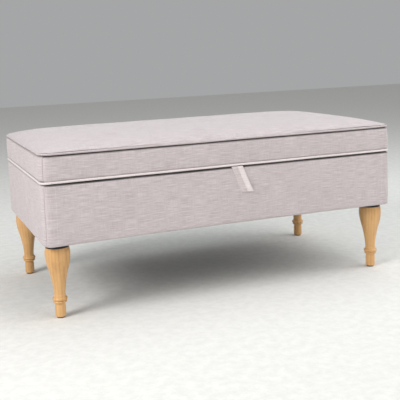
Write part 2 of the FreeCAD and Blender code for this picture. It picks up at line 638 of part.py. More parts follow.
def lid_stays():
    """Two gas struts between the end panels and the lid's underside."""
    wall_screws, lid_screws = [], []
    for side, sign in (("left", -1), ("right", 1)):
        flip = "-" if sign < 0 else ""
        x = f"({flip}{STAY_X})"
        wall = f"({flip}({STAY_X} + stay_inset - bracket / 2))"
        low = (x, LOW_STUD_Y, LOW_STUD_Z)
        high = (x, TOP_STUD_Y, TOP_STUD_Z)
        tube = cut(place(cylinder("tube_radius", TUBE_LENGTH), z="socket_low"),
                   place(cylinder("tube_bore", f"{TUBE_LENGTH} - tube_end - mouth"),
                         z="socket_low + tube_end"),
                   place(cylinder("rod_radius + running_gap", "3 * mouth"),
                         z=f"socket_low + {TUBE_LENGTH} - 2 * mouth"))
        node(lean(tube, *low), f"strut_{side}_cylinder")
        node(lean(stay_socket("socket_back", "socket_low", sign), *low), f"strut_{side}_low_socket")
        node(lean(stay_socket("socket_high", "socket_back", sign), *high), f"strut_{side}_top_socket")
        reach = f"({STAY_CLOSED} - socket_low - tube_end - piston_rest)"
        rod = place(cylinder("rod_radius", f"{reach} - socket_high"), z=f"-{reach}")
        head = place(cylinder("tube_bore - piston_gap", "piston"), z=f"-{reach}")
        node(lean(fuse(rod, head), *high), f"strut_{side}_rod")
        plate = box("bracket", "plate_front + plate_back", "2 * plate_half", f"{wall} - bracket / 2",
                    f"{LOW_STUD_Y} - plate_front", f"{LOW_STUD_Z} - plate_half")
        size = ("screw_shank", "screw_head", "bracket", "screw_length")
        fixings = [place(screw(*size), f"{flip}({STAY_X} + stay_inset - bracket)",
                         f"{LOW_STUD_Y} - plate_screw_front", f"{LOW_STUD_Z} + {step} * plate_screw",
                         Y_AXIS, -90 * sign)
                   for step in (-1, 1)]
        wall_screws += fixings
        stud = ball_stud(*low, sign, "stay_inset - bracket / 2")
        node(cut(fuse(plate, *stud), group(*fixings)), f"strut_{side}_wall_bracket")
        flange = f"({flip}({STAY_X} + stay_inset - bracket_side_gap - bracket / 2 - bracket))"
        upright = box("bracket", "2 * bracket_half", "stay_under_lid + ball_radius",
                      f"{flange} - bracket / 2", f"{TOP_STUD_Y} - bracket_half",
                      f"{TOP_STUD_Z} - ball_radius")
        flat = box("2 * bracket_half", "2 * bracket_half", "bracket",
                   f"{flange} {'-' if sign > 0 else '+'} bracket_half - bracket_half",
                   f"{TOP_STUD_Y} - bracket_half", f"{LID} - bracket")
        fixings = [place(screw(*size), f"{flange} {'-' if sign > 0 else '+'} bracket_half",
                         f"{TOP_STUD_Y} + {step} * bracket_screw", f"{LID} - bracket", X_AXIS, 180)
                   for step in (-1, 1)]
        lid_screws += fixings
        stud = ball_stud(*high, sign, "stay_inset - bracket_side_gap - bracket")
        node(cut(fuse(upright, flat, *stud), group(*fixings)), f"strut_{side}_lid_bracket")
    node(group(*wall_screws), "strut_wall_screws")
    node(group(*lid_screws), "strut_lid_screws")


# ---------------------------------------------------------------- build, check and write

box_panels()
box_screws()
upholstery()
linings()
legs()
lid()
pull_tab()
hinges()
lid_stays()
doc.recompute()

for thing in doc.Objects:
    if "Invalid" in thing.State or "Error" in thing.State:
        raise RuntimeError(f"{thing.Name} ({thing.Label}) is in state {thing.State}")
for thing in nodes:
    if thing.Shape.isNull() or not thing.Shape.isValid() or not thing.Shape.Solids:
        raise RuntimeError(f"{thing.Label} has no valid solid")

os.makedirs("parts", exist_ok=True)
for thing in nodes:
    thing.Shape.exportStep(f"parts/{thing.Label}.step")
    print(thing.Label, len(thing.Shape.Solids), round(thing.Shape.Volume / 1000, 2), "cm3")
print(len(nodes), "pieces")
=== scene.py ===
"""The looks of a storage bench: linen box and lid cushion, piping, pull tab, turned legs and fittings."""
import json
import math

import bmesh
import bpy
import numpy as np
from mathutils import Matrix, Vector, noise


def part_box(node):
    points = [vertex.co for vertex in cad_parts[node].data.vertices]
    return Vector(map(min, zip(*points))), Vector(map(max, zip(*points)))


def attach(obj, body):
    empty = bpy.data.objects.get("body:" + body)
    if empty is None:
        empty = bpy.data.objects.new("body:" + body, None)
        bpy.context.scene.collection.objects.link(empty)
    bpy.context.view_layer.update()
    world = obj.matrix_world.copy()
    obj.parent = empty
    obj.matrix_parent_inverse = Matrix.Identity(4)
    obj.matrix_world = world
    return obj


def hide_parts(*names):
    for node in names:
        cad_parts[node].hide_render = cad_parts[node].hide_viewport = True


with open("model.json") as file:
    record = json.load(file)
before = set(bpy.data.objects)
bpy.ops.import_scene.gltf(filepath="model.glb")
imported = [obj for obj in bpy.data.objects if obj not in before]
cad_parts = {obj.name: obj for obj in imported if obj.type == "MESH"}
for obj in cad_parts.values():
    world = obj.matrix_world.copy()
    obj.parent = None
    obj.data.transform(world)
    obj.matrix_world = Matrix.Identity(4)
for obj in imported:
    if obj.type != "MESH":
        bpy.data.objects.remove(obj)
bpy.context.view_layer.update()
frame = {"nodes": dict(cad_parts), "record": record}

MM = 0.001

# ---------------------------------------------------------------- sizes, from the frame

COVER_LOW = np.min([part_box(f"cover_{side}")[0] for side in ("front", "back", "left", "right")], axis=0)
COVER_HIGH = np.max([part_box(f"cover_{side}")[1] for side in ("front", "back", "left", "right")], axis=0)
HALF_X, HALF_Y = float(COVER_HIGH[0]), float(COVER_HIGH[1])
BASE, RIM = float(COVER_LOW[2]), float(COVER_HIGH[2])
INNER_X = float(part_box("box_lining")[1][0])
RETURN = HALF_X - INNER_X
BOARD_TOP = float(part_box("lid_board")[1][2])
LOW_CORD = [float(value) for value in (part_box("lid_piping_bottom")[0][2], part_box("lid_piping_bottom")[1][2])]
TOP_CORD = [float(value) for value in (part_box("lid_piping_top")[0][2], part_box("lid_piping_top")[1][2])]
LOW_CORD_OUT = float(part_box("lid_piping_bottom")[1][0]) - HALF_X
TOP_CORD_OUT = float(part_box("lid_piping_top")[1][0]) - HALF_X
CROWN_TOP = float(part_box("lid_top_cover")[1][2])

CORNER = 22 * MM  # the plan radius of the box's corners and of the lid's lower edge
TOP_CORNER = 27 * MM  # the lid's upper edge is rounder
CLOTH = 1.2 * MM
SIDES = ("front", "right", "back", "left")
SEAM_IN = 11.5 * MM  # how wide the lapped strip beside each corner seam is
HEM = 8 * MM  # what a panel is cut larger for its seams
WOOD_HALF = (float(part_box("right_end_panel")[1][0]), float(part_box("back_panel")[1][1]))
stitch_lines = {"box": [], "lid": [], "pull_tab": []}

# ---------------------------------------------------------------- outlines round the bench


def side_run(side, half_x, half_y, radius, arc_steps, line_steps, bow=0.0):
    """Points, outward normals and lengths along one side, from corner diagonal to diagonal."""
    turn = SIDES.index(side)
    along, across = (half_x, half_y) if turn % 2 == 0 else (half_y, half_x)
    radius = max(radius, 0.3 * MM)
    swing = np.linspace(-math.pi / 4, 0, arc_steps + 1)
    left = np.stack([-along + radius + radius * np.sin(swing), -across + radius - radius * np.cos(swing)], 1)
    line = np.stack([np.linspace(-along + radius, along - radius, line_steps + 1),
                     np.full(line_steps + 1, -across)], 1)
    right = left[::-1] * (-1, 1)
    points = np.concatenate([left, line[1:-1], right])
    normals = np.concatenate([
        np.stack([np.sin(swing), -np.cos(swing)], 1), np.tile((0.0, -1.0), (line_steps - 1, 1)),
        np.stack([-np.sin(swing[::-1]), -np.cos(swing[::-1])], 1)])
    points = points + normals * (bow * (1 - (points[:, :1] / along) ** 2))
    lengths = np.concatenate([[0], np.cumsum(np.linalg.norm(np.diff(points, axis=0), axis=1))])
    lengths -= lengths[-1] / 2
    c, s = math.cos(turn * math.pi / 2), math.sin(turn * math.pi / 2)
    spin = np.array([[c, s], [-s, c]])
    return points @ spin, normals @ spin, lengths


def loop(half_x, half_y, radius, arc_steps, long_steps, short_steps, bow_x=0.0, bow_y=0.0):
    """The closed outline, as the four sides one after another without their last points."""
    runs = [side_run(side, half_x, half_y, radius, arc_steps,
                     (long_steps, short_steps)[index % 2], (bow_y, bow_x)[index % 2])
            for index, side in enumerate(SIDES)]
    return tuple(np.concatenate([run[which][:-1] for run in runs]) for which in (0, 1))


# ---------------------------------------------------------------- meshes


def new_piece(name, vertices, faces, uvs=None, smooth=True):
    """A mesh object in the frame; uvs holds one pair for each vertex, in metres of cloth."""
    mesh = bpy.data.meshes.new(name)
    places = [tuple(map(float, vertex)) for vertex in vertices]
    mesh.from_pydata(places, [], [tuple(map(int, face)) for face in faces])
    if uvs is not None:
        layer = mesh.uv_layers.new(name="cloth")
        index = np.zeros(len(mesh.loops), int)
        mesh.loops.foreach_get("vertex_index", index)
        layer.data.foreach_set("uv", np.asarray(uvs, float)[index].ravel())
    mesh.polygons.foreach_set("use_smooth", [smooth] * len(mesh.polygons))
    mesh.validate()
    piece = bpy.data.objects.new(name, mesh)
    bpy.context.scene.collection.objects.link(piece)
    return piece


def paint_crease_shade(piece, shade_amounts):
    """Notes for each vertex how much painted shade it takes in a seam or gap, darkening the cloth's colour
    there.
    """
    layer = piece.data.attributes.new("crease_shade", "FLOAT", "POINT")
    layer.data.foreach_set("value", np.asarray(shade_amounts, float).ravel())


def grid_faces(rows, columns, closed=False):
    """Quads of a grid whose rows run to the right and stack upwards, seen from outside."""
    faces = []
    last = columns if closed else columns - 1
    for row in range(rows - 1):
        for column in range(last):
            after = (column + 1) % columns
            faces.append((row * columns + column, row * columns + after,
                          (row + 1) * columns + after, (row + 1) * columns + column))
    return faces


def modifier(piece, kind, **settings):
    result = piece.modifiers.new(kind.title(), kind)
    for name, value in settings.items():
        setattr(result, name, value)
    return result


def cloth_thickness(piece, thickness=CLOTH):
    """Gives a panel its thickness, on the inside of the face that shows."""
    modifier(piece, "SOLIDIFY", thickness=thickness, offset=-1)


def finish(piece, body, material, replaces=()):
    """Material, body and the CAD nodes that a piece stands for."""
    piece.data.materials.clear()
    piece.data.materials.append(material)
    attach(piece, body)
    if replaces:
        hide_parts(*replaces)
    return piece


def soft_noise(points, scale, seed):
    """Smooth noise from -1 to 1 at each point."""
    shift = Vector((seed * 7.3, seed * 3.1, seed * 5.7))
    return np.array([noise.noise(Vector(point) / scale + shift) for point in points])


# ---------------------------------------------------------------- shader writing


class Wire:
    """A socket in a material's tree. Arithmetic on it adds Math nodes."""

    def __init__(self, paint, node, output=0):
        self.paint, self.node, self.socket = paint, node, node.outputs[output]

    def out(self, output):
        return Wire(self.paint, self.node, output)

    def math(self, operation, *others):
        return self.paint.add("ShaderNodeMath", {"operation": operation}, self, *others)

    def __add__(self, other):
        return self.math("ADD", other)

    __radd__ = __add__

    def __mul__(self, other):
        return self.math("MULTIPLY", other)

    __rmul__ = __mul__

    def __sub__(self, other):
        return self.math("SUBTRACT", other)

    def __rsub__(self, other):
        return self.paint.add("ShaderNodeMath", {"operation": "SUBTRACT"}, other, self)

    def __pow__(self, other):
        return self.math("POWER", other)

    def sine(self):
        return self.math("SINE")

    def between(self, low, high):
        """0 below low, 1 above high, smooth in between."""
        return self.paint.add("ShaderNodeMapRange", {"interpolation_type": "SMOOTHSTEP"},
                              self, low, high, 0.0, 1.0)


class Paint:
    """A material with one Principled shader, whose constants are set on its own sockets."""

    def __init__(self, name, **constants):
        self.material = bpy.data.materials.new(name)
        self.material.use_nodes = True
        self.tree = self.material.node_tree
        self.shader = self.tree.nodes["Principled BSDF"]
        for socket, value in constants.items():
            self.shader.inputs[socket.replace("_", " ")].default_value = value

    def add(self, kind, settings=None, *values, **named):
        """Adds a node: its settings first, then its sockets, by place or by name."""
        node = self.tree.nodes.new(kind)
        for name, value in (settings or {}).items():
            setattr(node, name, value)
        places = list(enumerate(values)) + [(name.replace("_", " "), value) for name, value in named.items()]
        for where, value in places:
            if isinstance(value, Wire):
                self.tree.links.new(value.socket, node.inputs[where])
            elif value is not None:
                node.inputs[where].default_value = value
        return Wire(self, node)

    def object_place(self, stretch=(1, 1, 1), shift=(0, 0, 0)):
        place = self.add("ShaderNodeTexCoord").out("Object")
        return self.add("ShaderNodeMapping", None, place, shift, (0, 0, 0), stretch)

    def cloth_place(self, stretch=(1, 1, 1)):
        place = self.add("ShaderNodeUVMap", {"uv_map": "cloth"})
        return self.add("ShaderNodeVectorMath", {"operation": "MULTIPLY"}, place, stretch)

    def noise(self, place, scale, detail=2.0, roughness=0.5):
        return self.add("ShaderNodeTexNoise", None, Vector=place, Scale=scale, Detail=detail,
                        Roughness=roughness)

    def mix(self, share, first, second):
        """A colour between two colours."""
        node = self.tree.nodes.new("ShaderNodeMix")
        node.data_type = "RGBA"
        for where, value in ((0, share), (6, first), (7, second)):
            if isinstance(value, Wire):
                self.tree.links.new(value.socket, node.inputs[where])
            else:
                node.inputs[where].default_value = value
        return Wire(self, node, 2)

    def feed(self, socket, wire):
        self.tree.links.new(wire.socket, self.shader.inputs[socket])

    def bump(self, height, strength=1.0):
        """Raises the surface by a height in metres."""
        self.feed("Normal", self.add("ShaderNodeBump", None, Strength=strength, Distance=1.0, Height=height))


def colour(red, green, blue):
    """A linear colour from display values of 0 to 255."""
    def linear(value):
        value /= 255
        return value / 12.92 if value <= 0.04045 else ((value + 0.055) / 1.055) ** 2.4
    return (linear(red), linear(green), linear(blue), 1.0)


# Near-black colour painted into seams and gaps as painted shade.
PAINTED_SHADE_COLOUR = colour(16, 9, 8)


def woven(name, light, dark, thread=0.9 * MM, slub=1.0, raise_by=0.1 * MM, sheen=0.25):
    """Plain-woven cloth with uneven yarns both ways, on the cloth's own coordinates."""
    paint = Paint(name, Roughness=0.92, Sheen_Weight=sheen, Sheen_Roughness=0.5)
    paint.shader.inputs["Specular IOR Level"].default_value = 0.25
    along = paint.noise(paint.cloth_place((28, 620, 1)), 1.0, 3.0, 0.65)
    across = paint.noise(paint.cloth_place((620, 28, 1)), 1.0, 3.0, 0.65)
    patches = paint.noise(paint.cloth_place((9, 9, 1)), 1.0, 2.0)
    fleck = paint.noise(paint.cloth_place((420, 900, 1)), 1.0, 1.0)
    place = paint.add("ShaderNodeSeparateXYZ", None, paint.cloth_place())
    turn = 2 * math.pi / (2 * thread)
    weft, warp = (place.out("X") * turn).sine(), (place.out("Y") * turn).sine()
    weave = weft * warp
    shade = (along - 0.5) * (1.5 * slub) + (across - 0.5) * (0.5 * slub) + (fleck - 0.5) * 0.6
    tone = (shade + (patches - 0.5) * 0.2 + weave * 0.06 + 0.5).between(0.0, 1.0)
    crease_shade = paint.add("ShaderNodeAttribute", {"attribute_name": "crease_shade"}).out("Fac")
    # The cloth's colour goes towards near black where the vertices carry painted shade.
    paint.feed("Base Color", paint.mix(crease_shade, paint.mix(tone, dark, light), PAINTED_SHADE_COLOUR))
    paint.bump(weave * raise_by + (along - 0.5) * (0.4 * MM * slub) + (across - 0.5) * (0.15 * MM * slub))
    return paint.material


def turned_wood():
    """Lacquered pine: straight grain up the leg, with fine darker late wood and soft streaks."""
    paint = Paint("turned_pine", Roughness=0.42, Coat_Weight=0.25, Coat_Roughness=0.3)
    wander = paint.noise(paint.object_place((1, 1, 0.05)), 16.0, 2.0, 0.5)
    parts = paint.add("ShaderNodeSeparateXYZ", None, paint.object_place())
    rings = ((parts.out("X") * 0.92 - parts.out("Y") * 0.38) * 820.0 + wander * 4.0).sine() * 0.5 + 0.5
    fine = paint.noise(paint.object_place((1, 1, 0.02)), 700.0, 2.0, 0.6)
    broad = paint.noise(paint.object_place((1, 1, 0.06)), 60.0, 2.0, 0.5)
    late = (rings ** 2.5) * 0.16 + (fine - 0.5) * 0.5 + (broad - 0.5) * 0.8
    tone = late.between(-0.35, 0.75)
    paint.feed("Base Color", paint.mix(tone, colour(228, 182, 122), colour(182, 128, 70)))
    paint.feed("Roughness", tone * 0.12 + 0.36)
    paint.bump((fine - 0.5) * (0.05 * MM) - rings * (0.03 * MM))
    return paint.material


def sawn_wood(name, light, dark):
    """Raw plywood or softwood, seen only when the lid is up or from below."""
    paint = Paint(name, Roughness=0.75)
    grain = paint.noise(paint.object_place((0.08, 1, 1)), 240.0, 3.0, 0.6)
    broad = paint.noise(paint.object_place((0.15, 1, 1)), 35.0, 2.0, 0.5)
    paint.feed("Base Color", paint.mix((grain * 0.6 + broad * 0.4).between(0.3, 0.7), light, dark))
    paint.bump(grain * (0.15 * MM))
    return paint.material


def metal(name, tint, rough, brush=0.0):
    paint = Paint(name, Metallic=1.0, Roughness=rough)
    marks = paint.noise(paint.object_place((0.05, 1, 1)), 2500.0, 2.0, 0.6)
    wear = paint.noise(paint.object_place(), 160.0, 3.0, 0.6)
    deep = tuple(0.7 * value for value in tint[:3]) + (1.0,)
    paint.feed("Base Color", paint.mix(wear.between(0.35, 0.75), tint, deep))
    paint.feed("Roughness", marks * brush + (wear * 0.12 + (rough - 0.06)))
    return paint.material


def moulded(name, tint, rough, grain=0.03 * MM):
    paint = Paint(name, Roughness=rough)
    speck = paint.noise(paint.object_place(), 1800.0, 2.0, 0.6)
    cloud = paint.noise(paint.object_place(), 90.0, 2.0, 0.5)
    pale = tuple(min(1.0, 1.5 * value + 0.01) for value in tint[:3]) + (1.0,)
    paint.feed("Base Color", paint.mix(cloud.between(0.3, 0.9) * 0.5, tint, pale))
    paint.feed("Roughness", cloud * 0.1 + (rough - 0.05))
    paint.bump(speck * grain)
    return paint.material


def fibre(name, light, dark, scale=350.0):
    """Wadding, foam or pressed cloth: soft specks without a weave."""
    paint = Paint(name, Roughness=0.95)
    speck = paint.noise(paint.object_place(), scale, 4.0, 0.7)
    paint.feed("Base Color", paint.mix(speck.between(0.35, 0.65), dark, light))
    paint.bump(speck * (0.6 * MM))
    return paint.material


LINEN = woven("linen", colour(220, 210, 211), colour(176, 164, 165))
CORD_CLOTH = woven("piping_cloth", colour(244, 236, 235), colour(212, 201, 200), slub=0.5)
# The pull tab's cloth is the bench's linen made lighter as painted light, and its fold lighter still as a
# painted highlight.
LIT_TAB_LINEN = woven("tab_linen_painted_light", colour(227, 217, 217), colour(186, 174, 174))
TAB_FOLD_HIGHLIGHT = woven("tab_fold_painted_highlight", colour(243, 234, 233), colour(214, 203, 202))
LINING = woven("lining_cloth", colour(150, 144, 138), colour(112, 106, 100), thread=0.6 * MM, slub=0.35)
THREAD = moulded("sewing_thread", colour(226, 216, 214), 0.7)
PINE = turned_wood()
PLY = sawn_wood("plywood", colour(222, 196, 156), colour(184, 150, 106))
RAW_PINE = sawn_wood("raw_pine", colour(226, 196, 148), colour(190, 152, 102))
WADDING = fibre("wadding", colour(242, 242, 240), colour(222, 222, 218))
FOAM = fibre("foam", colour(236, 222, 170), colour(214, 196, 140), 900.0)
DUST = fibre("dust_cloth", colour(44, 44, 45), colour(24, 24, 25), 1400.0)
BLACK = moulded("black_plastic", colour(26, 26, 27), 0.55)
RUBBER = moulded("rubber", colour(38, 37, 36), 0.8)
BRASSED = metal("brassed_steel", colour(196, 172, 118), 0.34, 0.2)
ZINC = metal("zinc_steel", colour(176, 178, 182), 0.38, 0.2)
CHROME = metal("bright_rod", colour(215, 216, 220), 0.12)
ENAMEL = moulded("black_enamel", colour(18, 18, 19), 0.3, 0.005 * MM)

SLOT_PAINTS = {
    "plywood": PLY, "raw_pine": RAW_PINE, "turned_pine": PINE, "linen": LINEN, "piping_cloth": CORD_CLOTH,
    "wadding": WADDING, "foam": FOAM, "lining_cloth": LINING, "dust_cloth": DUST, "nylon": BLACK,
    "rubber": RUBBER, "brass_plate": BRASSED, "black_enamel": ENAMEL, "bright_rod": CHROME,
    "zinc_steel": ZINC,
}
for subpart in frame["record"]["subparts"]:
    for material_slot in frame["nodes"][subpart["node"]].material_slots:
        material_slot.material = SLOT_PAINTS[subpart["material_slot"]]

# ---------------------------------------------------------------- the box's covers

ARC_STEPS = 8
LONG_STEPS = 210
SHORT_STEPS = 105
RIM_ROUND = 5 * MM


def cover_profile():
    """How far in and how high the cover runs, from the mouth over the rim, down and under."""
    rows = [(RETURN, RIM), (RETURN * 0.7, RIM), (RETURN * 0.45, RIM)]
    for angle in np.linspace(90, 0, 6):
        rows.append((RIM_ROUND * (1 - math.cos(math.radians(angle))),
                     RIM - RIM_ROUND * (1 - math.sin(math.radians(angle)))))
    for share in np.linspace(0, 1, 34)[1:-1]:
        rows.append((0.0, RIM - RIM_ROUND - share * (RIM - BASE - 2 * RIM_ROUND)))
    for angle in np.linspace(0, 90, 6):
        rows.append((RIM_ROUND * (1 - math.cos(math.radians(angle))),
                     BASE + RIM_ROUND * (1 - math.sin(math.radians(angle)))))
    rows += [(RETURN * 0.6, BASE), (RETURN, BASE)]
    return rows[::-1]


def seam_dip(distance, width=1.4 * MM, depth=0.5 * MM):
    return -depth * np.exp(-(distance / width) ** 2)


def felled_seam(side, to_seam):
    """The corner seam: a shallow valley at the corner, and on the long sides a lapped double strip."""
    shape = seam_dip(to_seam)
    if side in ("front", "back"):
        lap = 1 / (1 + np.exp((to_seam - SEAM_IN) / (0.35 * MM)))
        shape = shape + lap * 0.55 * MM + seam_dip(to_seam - SEAM_IN, 1.1 * MM, 0.45 * MM)
        shape = shape + seam_dip(to_seam - SEAM_IN + 2.2 * MM, 0.9 * MM, 0.3 * MM)
    return shape


def declare_stretched(width):
    """Works out a cover panel's cut width, a little larger than it shows for its seams, without keeping it."""
    round(width + 2 * HEM, 3)


# How strongly painted shade darkens the cloth in its grooves: on the long sides, and on the ends.
BOX_PAINTED_SHADE = (0.97, 0.3)
LID_PAINTED_SHADE_HIGH = (0.97, 0.35)
LID_PAINTED_SHADE_LOW = (0.35, 0.85)


def box_cover(side):
    """One cover panel over its padding, a little full between its seams, with puckers at the corners."""
    profile = cover_profile()
    long_side = side in ("front", "back")
    line_steps = LONG_STEPS if long_side else SHORT_STEPS
    rows, uvs, under = [], [], []
    travel = np.concatenate([[0], np.cumsum([math.dist(a, b) for a, b in zip(profile, profile[1:])])])
    for (inset, level), along_profile in zip(profile, travel):
        points, normals, lengths = side_run(side, HALF_X - inset, HALF_Y - inset, CORNER - inset,
                                            ARC_STEPS, line_steps)
        height = (level - BASE) / (RIM - BASE)
        outer = max(0.0, 1 - inset / RIM_ROUND)
        fullness = outer * (4 * height * (1 - height)) ** 0.6
        to_seam = lengths[-1] - np.abs(lengths)
        place = np.column_stack([points, np.full(len(points), level)])
        swell = fullness * 1.8 * MM * np.clip(to_seam / (60 * MM), 0, 1) ** 0.5
        swell += fullness * soft_noise(place, 75 * MM, 1) * 0.6 * MM
        pucker = soft_noise(place * (1, 1, 0.35), 16 * MM, 2) * 0.3 * MM
        swell += fullness * pucker * np.exp(-to_seam / (22 * MM))
        swell += outer * felled_seam(side, to_seam)
        middle = 1 - (lengths / lengths[-1]) ** 2
        sag = (middle * 3.4 - 1.4) * MM * (1 - height) ** 3 if long_side else -0.8 * MM * (1 - height) ** 3
        place[:, :2] += normals * swell[:, None]
        place[:, 2] += sag * min(1.0, max(0.0, 1 - (inset - 3 * MM) / (4 * MM)))
        rows.append(place)
        uvs.append(np.column_stack([lengths, np.full(len(points), along_profile)]))
        under.append(place - np.column_stack([normals, np.zeros(len(normals))]) * (CLOTH + 0.3 * MM))
    grid = np.stack(rows)
    if long_side:
        column = int(np.argmin(np.abs(to_seam[:len(to_seam) // 2] - SEAM_IN + 2.2 * MM)))
        for where in (column, len(to_seam) - 1 - column):
            stitch_lines["box"].append(grid[8:-8, where])
    panel = new_piece(f"box_cover_{side}", grid.reshape(-1, 3),
                      grid_faces(len(rows), len(rows[0])), np.concatenate(uvs))
    # Painted shade on the cover's top edge, in the gap just under the lid's piping; strongest on the long sides.
    shade_under_lid = np.clip((grid[..., 2] - RIM + 3.8 * MM) / (1.6 * MM), 0, 1)
    shade_under_lid *= (0.82 + 0.18 * soft_noise(grid.reshape(-1, 3), 130 * MM, 41)).reshape(grid.shape[:2])
    paint_crease_shade(panel, shade_under_lid * BOX_PAINTED_SHADE[SIDES.index(side) % 2])
    cloth_thickness(panel)
    finish(panel, "box", LINEN, [f"cover_{side}"])
    declare_stretched(2 * lengths[-1])
    box_padding(side, np.stack(under)[3:-3])


def box_padding(side, outer):
    """The layer of wadding between a cover and the plywood, as a closed shape."""
    outer = outer[::2, ::3]
    inner = outer.copy()
    turn = SIDES.index(side)
    axis, sign = ((1, -1), (0, 1), (1, 1), (0, -1))[turn]
    low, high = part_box(f"{('front', 'right_end', 'back', 'left_end')[turn]}_panel")
    face = (low if sign < 0 else high)[axis]
    inner[..., axis] = float(face)
    other = 1 - axis
    inner[..., other] = np.clip(inner[..., other], -WOOD_HALF[other], WOOD_HALF[other])
    outer[..., 2] = np.clip(outer[..., 2], BASE + CLOTH + 0.6 * MM, RIM - CLOTH - 0.6 * MM)
    inner[..., 2] = outer[..., 2]
    piece = closed_block(f"box_padding_{side}", outer, inner)
    finish(piece, "box", WADDING, [f"padding_{side}"])


def closed_block(name, front, back):
    """A closed skin between two grids of the same size; the first is the one that faces outwards."""
    rows, columns = front.shape[:2]
    faces = grid_faces(rows, columns)
    faces += [tuple(rows * columns + index for index in face[::-1]) for face in grid_faces(rows, columns)]
    edge = [row * columns + column for row, column in border(front)]
    for first, second in zip(edge, edge[1:] + edge[:1]):
        faces.append((rows * columns + first, rows * columns + second, second, first))
    return new_piece(name, np.concatenate([front.reshape(-1, 3), back.reshape(-1, 3)]), faces)


def border(grid):
    """The vertex places of a grid's edge, in the outline's order."""
    rows, columns = grid.shape[:2]
    return ([(0, c) for c in range(columns - 1)] + [(r, columns - 1) for r in range(rows - 1)]
            + [(rows - 1, c) for c in range(columns - 1, 0, -1)] + [(r, 0) for r in range(rows - 1, 0, -1)])


for side_name in SIDES:
    box_cover(side_name)

# ---------------------------------------------------------------- the lid cushion

LONG_CELLS = 150
SHORT_CELLS = 78
CUSHION_ARC = 5
BAND_ROWS = 30
CROWN = CROWN_TOP - TOP_CORD[1] + 1 * MM
LID_BOW = (0.8 * MM, 1.5 * MM)  # how far the ends and the long sides curve out at the upper edge
GRID_STEPS = (CUSHION_ARC, LONG_CELLS - 2 * CUSHION_ARC, SHORT_CELLS - 2 * CUSHION_ARC)
TUCK_TOP, TUCK_TOP_SHARE = 9 * MM, 0.07  # how deep the band turns in under a cord, over which share of it
TUCK_LOW, TUCK_LOW_SHARE = 3.2 * MM, 0.06
BAND_FULL = 2.2 * MM
TOP_EDGE_IN = 0.4 * MM  # where the top panel's edge meets the upper piping
TOP_EDGE_DOWN = 0.5 * MM


def band_outline(height):
    """The lid's outline at a share of the band's height, from the lower seam to the upper."""
    tuck_top = TUCK_TOP * max(0.0, (height - 1 + TUCK_TOP_SHARE) / TUCK_TOP_SHARE) ** 1.2
    tuck_low = TUCK_LOW * max(0.0, (TUCK_LOW_SHARE - height) / TUCK_LOW_SHARE) ** 1.3
    full = BAND_FULL * (4 * height * (1 - height)) ** 0.4
    inset = tuck_top + tuck_low - full
    radius = CORNER + (TOP_CORNER - CORNER) * height - inset
    return loop(HALF_X - inset, HALF_Y - inset, radius, *GRID_STEPS,
                bow_x=LID_BOW[0] * height, bow_y=LID_BOW[1] * height)


def square_fill(edge):
    """Fills a closed outline with a grid whose border is that outline, counted from its first corner."""
    places = np.zeros((SHORT_CELLS + 1, LONG_CELLS + 1, 2))
    closed = np.concatenate([edge, edge[:1]])
    starts = (0, LONG_CELLS, LONG_CELLS + SHORT_CELLS, 2 * LONG_CELLS + SHORT_CELLS)
    for row in range(SHORT_CELLS + 1):
        for column in range(LONG_CELLS + 1):
            u, v = 2 * column / LONG_CELLS - 1, 2 * row / SHORT_CELLS - 1
            reach = max(abs(u), abs(v))
            if reach == 0:
                continue
            u, v = u / reach, v / reach
            if v <= -1 + 1e-9:
                at = starts[0] + (u + 1) / 2 * LONG_CELLS
            elif u >= 1 - 1e-9:
                at = starts[1] + (v + 1) / 2 * SHORT_CELLS
            elif v >= 1 - 1e-9:
                at = starts[2] + (1 - u) / 2 * LONG_CELLS
            else:
                at = starts[3] + (1 - v) / 2 * SHORT_CELLS
            low = min(int(at), len(closed) - 2)
            places[row, column] = reach * (closed[low] + (at - low) * (closed[low + 1] - closed[low]))
    return places


def crown_height(places, half_x, half_y):
    """How far the top panel stands above its seam: full in the middle, falling to the edges."""
    u = np.clip(np.abs(places[..., 0]) / half_x, 0, 1)
    v = np.clip(np.abs(places[..., 1]) / half_y, 0, 1)
    return CROWN * (1 - u ** 10) ** 0.75 * (1 - v ** 4.5) ** 0.56


def build_cushion():
    """The cushion's skin: the band's rows from the lower seam to the upper, and the top panel's grid."""
    shares = np.linspace(0, 1, BAND_ROWS + 1)
    levels = LOW_CORD[1] + shares * (TOP_CORD[0] - LOW_CORD[1])
    levels -= TUCK_LOW * np.clip((TUCK_LOW_SHARE - shares) / TUCK_LOW_SHARE, 0, 1)
    band = [np.column_stack([band_outline(share)[0], np.full(2 * (LONG_CELLS + SHORT_CELLS), level)])
            for share, level in zip(shares, levels)]
    seam_level = TOP_CORD[1] - TOP_EDGE_DOWN
    edge = loop(HALF_X - TOP_EDGE_IN, HALF_Y - TOP_EDGE_IN, TOP_CORNER - TOP_EDGE_IN, *GRID_STEPS,
                bow_x=LID_BOW[0], bow_y=LID_BOW[1])[0]
    top = square_fill(edge)
    rise = crown_height(top, np.abs(edge[:, 0]).max(), np.abs(edge[:, 1]).max())
    top = np.dstack([top, seam_level + rise])
    return np.stack(band), top


